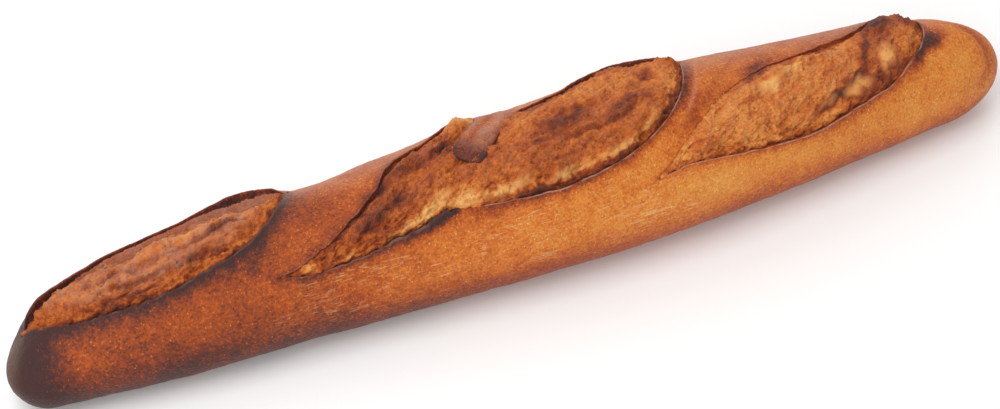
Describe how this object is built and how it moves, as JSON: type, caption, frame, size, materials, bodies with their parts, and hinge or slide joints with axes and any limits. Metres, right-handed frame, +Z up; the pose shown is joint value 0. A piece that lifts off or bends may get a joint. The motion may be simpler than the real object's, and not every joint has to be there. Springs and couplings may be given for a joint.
{
  "type": "baguette",
  "caption": "Short hearth-baked baguette with a flat sole and long slanting cuts that have burst open, for food display and as a baked goods prop.",
  "frame": {"origin": "middle of the box round the loaf, at its bottom, on the flat sole", "axes": "+X along the loaf, +Z up, -Y the near side, to which the cuts open"},
  "size_m": [0.45, 0.0738, 0.0659],
  "materials": {
    "crust": "dry baked crust, matt to faintly satin"
  },
  "bodies": {
    "root": {"baguette": "crust"}
  },
  "joints": []
}
